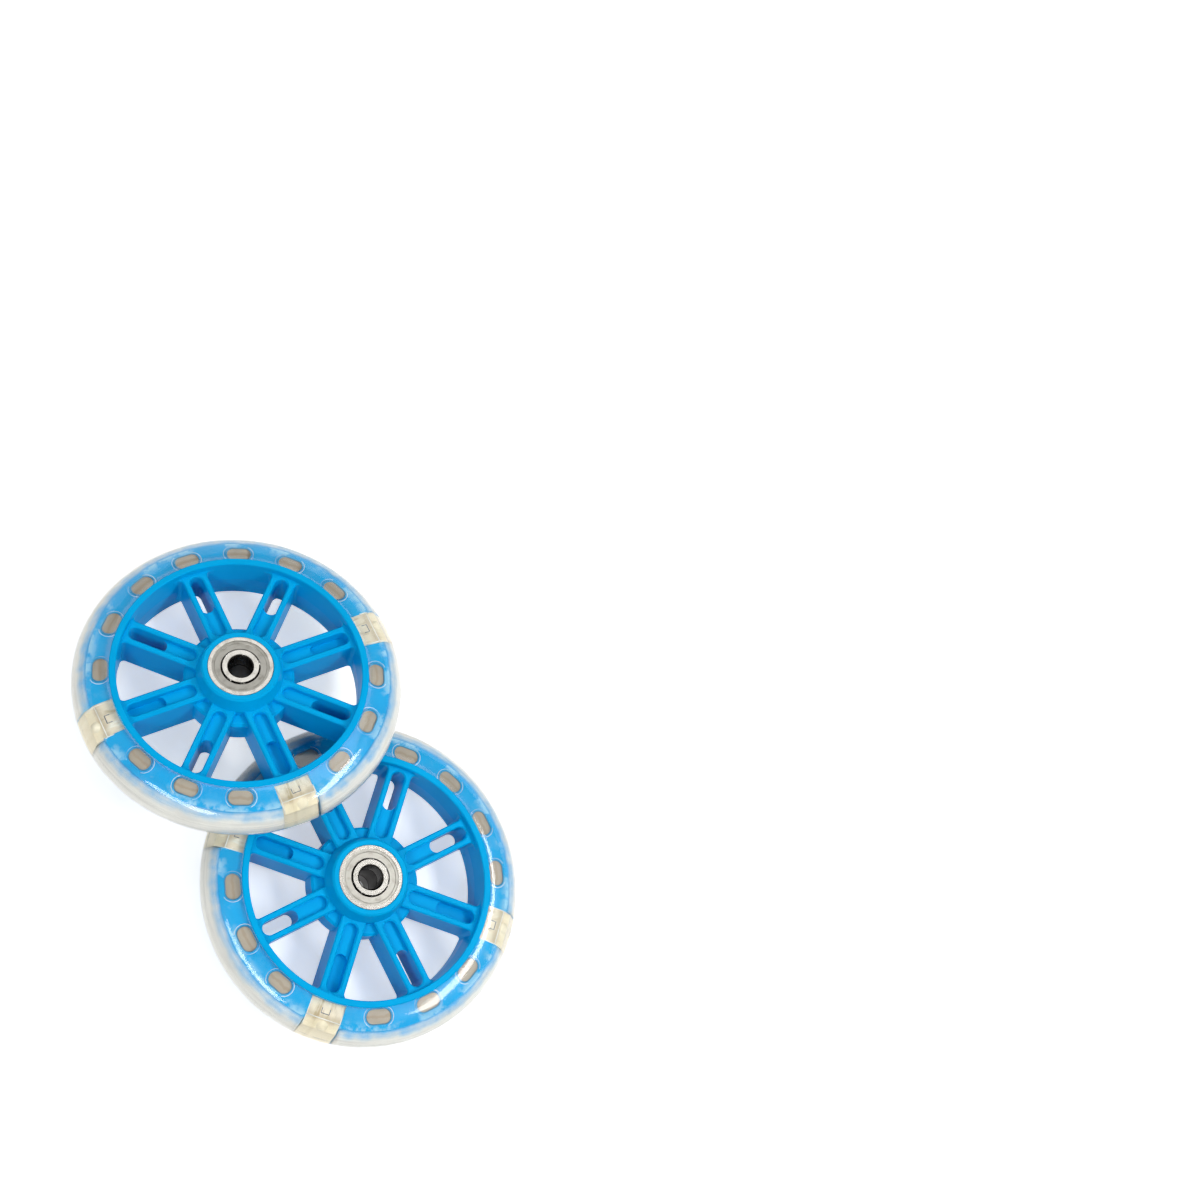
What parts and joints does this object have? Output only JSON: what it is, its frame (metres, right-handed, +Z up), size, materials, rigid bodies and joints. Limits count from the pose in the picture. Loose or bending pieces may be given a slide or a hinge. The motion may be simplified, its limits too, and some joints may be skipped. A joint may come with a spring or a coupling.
{
  "type": "light-up training wheel pair",
  "caption": "Pair of blue spoked training wheels with clear cast tyres, lamps set in the tyres and shielded ball bearings; one lies flat and the other leans on it.",
  "frame": {"origin": "middle of the pair's bounding box, on the floor", "axes": "+X from the leaning wheel to the flat wheel, +Z up, along the flat wheel's axle"},
  "size_m": [0.1872, 0.11, 0.0418],
  "materials": {
    "blue_plastic": "glossy moulded",
    "clear_polyurethane": "clear, glossy",
    "cream_resin": "translucent",
    "led_lens": "glossy",
    "circuit_board": "matte",
    "lead_sleeve": "matte",
    "bearing_steel": "ground",
    "ball_steel": "polished",
    "cage_steel": "pressed",
    "shield_steel": "satin",
    "spacer_alloy": "turned",
    "magnet_ferrite": "sintered",
    "bobbin_plastic": "matte",
    "copper_wire": "enamelled"
  },
  "bodies": {
    "wheels": {"lower_coil_bobbin": "bobbin_plastic", "lower_coil_winding": "copper_wire", "lower_core": "blue_plastic", "lower_front_inner_shield": "shield_steel", "lower_front_outer_ring": "bearing_steel", "lower_front_outer_shield": "shield_steel", "lower_lamp_board_1": "circuit_board", "lower_lamp_board_2": "circuit_board", "lower_lamp_board_3": "circuit_board", "lower_lamp_case_1": "cream_resin", "lower_lamp_case_2": "cream_resin", "lower_lamp_case_3": "cream_resin", "lower_lamp_lead_1": "lead_sleeve", "lower_lamp_lead_2": "lead_sleeve", "lower_lamp_lead_3": "lead_sleeve", "lower_lamp_led_1": "led_lens", "lower_lamp_led_2": "led_lens", "lower_lamp_led_3": "led_lens", "lower_rear_inner_shield": "shield_steel", "lower_rear_outer_ring": "bearing_steel", "lower_rear_outer_shield": "shield_steel", "lower_tyre": "clear_polyurethane", "upper_coil_bobbin": "bobbin_plastic", "upper_coil_winding": "copper_wire", "upper_core": "blue_plastic", "upper_front_inner_shield": "shield_steel", "upper_front_outer_ring": "bearing_steel", "upper_front_outer_shield": "shield_steel", "upper_lamp_board_1": "circuit_board", "upper_lamp_board_2": "circuit_board", "upper_lamp_board_3": "circuit_board", "upper_lamp_case_1": "cream_resin", "upper_lamp_case_2": "cream_resin", "upper_lamp_case_3": "cream_resin", "upper_lamp_lead_1": "lead_sleeve", "upper_lamp_lead_2": "lead_sleeve", "upper_lamp_lead_3": "lead_sleeve", "upper_lamp_led_1": "led_lens", "upper_lamp_led_2": "led_lens", "upper_lamp_led_3": "led_lens", "upper_rear_inner_shield": "shield_steel", "upper_rear_outer_ring": "bearing_steel", "upper_rear_outer_shield": "shield_steel", "upper_tyre": "clear_polyurethane"},
    "upper_axle": {"upper_front_inner_ring": "bearing_steel", "upper_rear_inner_ring": "bearing_steel", "upper_spacer": "spacer_alloy", "upper_magnet": "magnet_ferrite"},
    "upper_front_ball_train": {"upper_front_balls": "ball_steel", "upper_front_cage": "cage_steel"},
    "upper_rear_ball_train": {"upper_rear_balls": "ball_steel", "upper_rear_cage": "cage_steel"},
    "lower_axle": {"lower_front_inner_ring": "bearing_steel", "lower_rear_inner_ring": "bearing_steel", "lower_spacer": "spacer_alloy", "lower_magnet": "magnet_ferrite"},
    "lower_front_ball_train": {"lower_front_balls": "ball_steel", "lower_front_cage": "cage_steel"},
    "lower_rear_ball_train": {"lower_rear_balls": "ball_steel", "lower_rear_cage": "cage_steel"}
  },
  "joints": [
    {"name": "upper_axle_spin", "type": "hinge", "parent": "wheels", "child": "upper_axle", "pos_m": [-0.04037, 0, 0.02092], "axis": [-0.2673, 0, 0.9636], "continuous": true},
    {"name": "upper_front_ball_train_spin", "type": "hinge", "parent": "wheels", "child": "upper_front_ball_train", "pos_m": [-0.04037, 0, 0.02092], "axis": [-0.2673, 0, 0.9636], "continuous": true},
    {"name": "upper_rear_ball_train_spin", "type": "hinge", "parent": "wheels", "child": "upper_rear_ball_train", "pos_m": [-0.04037, 0, 0.02092], "axis": [-0.2673, 0, 0.9636], "continuous": true},
    {"name": "lower_axle_spin", "type": "hinge", "parent": "wheels", "child": "lower_axle", "pos_m": [0.03863, 0, 0.0123], "axis": [0, 0, 1], "continuous": true},
    {"name": "lower_front_ball_train_spin", "type": "hinge", "parent": "wheels", "child": "lower_front_ball_train", "pos_m": [0.03863, 0, 0.0123], "axis": [0, 0, 1], "continuous": true},
    {"name": "lower_rear_ball_train_spin", "type": "hinge", "parent": "wheels", "child": "lower_rear_ball_train", "pos_m": [0.03863, 0, 0.0123], "axis": [0, 0, 1], "continuous": true}
  ],
  "couplings": [
    {"joint": "upper_front_ball_train_spin", "follows": "upper_axle_spin", "ratio": 0.3677},
    {"joint": "upper_rear_ball_train_spin", "follows": "upper_axle_spin", "ratio": 0.3677},
    {"joint": "lower_front_ball_train_spin", "follows": "lower_axle_spin", "ratio": 0.3677},
    {"joint": "lower_rear_ball_train_spin", "follows": "lower_axle_spin", "ratio": 0.3677}
  ]
}
